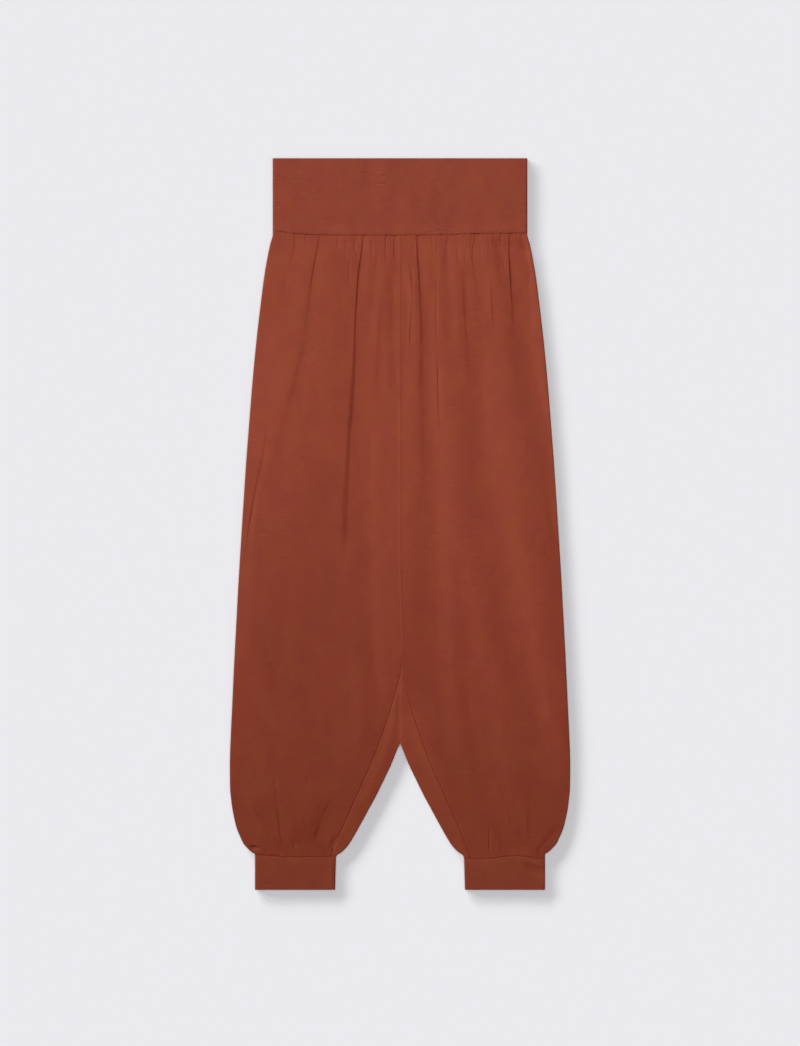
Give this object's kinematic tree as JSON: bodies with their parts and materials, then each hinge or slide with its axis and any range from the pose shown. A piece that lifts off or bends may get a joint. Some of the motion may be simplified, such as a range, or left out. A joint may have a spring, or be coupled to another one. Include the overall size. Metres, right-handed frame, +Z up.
{
  "type": "harem pants",
  "caption": "Plain jersey harem pants laid flat: wide smooth waistband, gathered loose legs with a low crotch, inseams on the front and close cuffs.",
  "frame": {"origin": "on the surface that the garment lies on, in the middle of its length and width", "axes": "+Y towards the waist, +X towards the wearer's left, +Z up from the surface, out of the garment's front"},
  "size_m": [0.476, 1.024, 0.0075],
  "materials": {
    "waistband": "matte doubled jersey with a soft sheen",
    "legs": "matte fine jersey with a soft sheen",
    "cuffs": "matte doubled jersey with a soft sheen"
  },
  "bodies": {
    "root": {"waistband": "waistband", "front_right_leg": "legs", "front_left_leg": "legs", "back_right_leg": "legs", "back_left_leg": "legs", "right_cuff": "cuffs", "left_cuff": "cuffs"}
  },
  "joints": []
}
